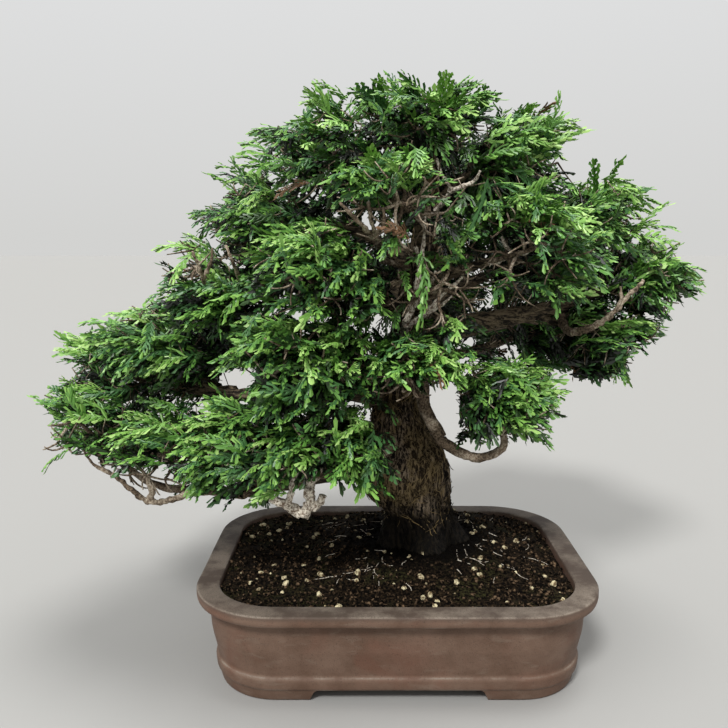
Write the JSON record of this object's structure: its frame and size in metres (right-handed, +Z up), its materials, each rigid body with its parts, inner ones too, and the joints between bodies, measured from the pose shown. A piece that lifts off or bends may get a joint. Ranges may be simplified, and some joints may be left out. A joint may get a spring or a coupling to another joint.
{
  "type": "hinoki cypress bonsai",
  "caption": "Hinoki cypress bonsai with a leaning tapered trunk and a broad layered crown, planted in a rounded rectangular footed pot.",
  "frame": {"origin": "on the ground, under the middle of the whole plant's box", "axes": "+Z up, front faces -Y, +X to the viewer's right along the crown's long side"},
  "size_m": [0.5439, 0.3153, 0.4517],
  "materials": {
    "stoneware": "matt unglazed brown stoneware",
    "soil": "rough damp potting soil",
    "trunk_bark": "rough fibrous bark",
    "bough_bark": "rough scaly bark",
    "foliage": "matt scale leaves"
  },
  "bodies": {
    "root": {"pot": "stoneware", "soil": "soil", "trunk": "trunk_bark", "left_middle_bough": "bough_bark", "left_high_bough": "bough_bark", "left_tier_bough": "bough_bark", "left_low_bough": "bough_bark", "left_far_bough": "bough_bark", "left_low_inner_bough": "bough_bark", "front_low_bough": "bough_bark", "front_left_bough": "bough_bark", "front_middle_bough": "bough_bark", "front_centre_bough": "bough_bark", "front_centre_low_bough": "bough_bark", "right_low_drop_bough": "bough_bark", "right_low_bough": "bough_bark", "right_far_bough": "bough_bark", "right_under_bough": "bough_bark", "right_inner_bough": "bough_bark", "shoulder_right_bough": "bough_bark", "shoulder_left_bough": "bough_bark", "crown_upper_left_bough": "bough_bark", "crown_upper_right_bough": "bough_bark", "crown_front_bough": "bough_bark", "crown_back_bough": "bough_bark", "back_left_bough": "bough_bark", "back_right_bough": "bough_bark", "back_centre_bough": "bough_bark", "back_left_low_bough": "bough_bark", "back_middle_low_bough": "bough_bark", "back_right_low_bough": "bough_bark", "crown_top_foliage": "foliage", "crown_upper_left_foliage": "foliage", "crown_upper_right_foliage": "foliage", "crown_front_foliage": "foliage", "crown_back_foliage": "foliage", "shoulder_left_foliage": "foliage", "shoulder_right_foliage": "foliage", "left_high_foliage": "foliage", "left_middle_foliage": "foliage", "left_tier_foliage": "foliage", "left_far_foliage": "foliage", "left_low_foliage": "foliage", "left_low_inner_foliage": "foliage", "front_low_foliage": "foliage", "front_left_foliage": "foliage", "front_middle_foliage": "foliage", "front_centre_foliage": "foliage", "front_centre_low_foliage": "foliage", "right_low_foliage": "foliage", "right_inner_foliage": "foliage", "right_far_foliage": "foliage", "right_under_foliage": "foliage", "back_left_foliage": "foliage", "back_right_foliage": "foliage", "back_centre_foliage": "foliage", "back_left_low_foliage": "foliage", "back_middle_low_foliage": "foliage", "back_right_low_foliage": "foliage"}
  },
  "joints": []
}
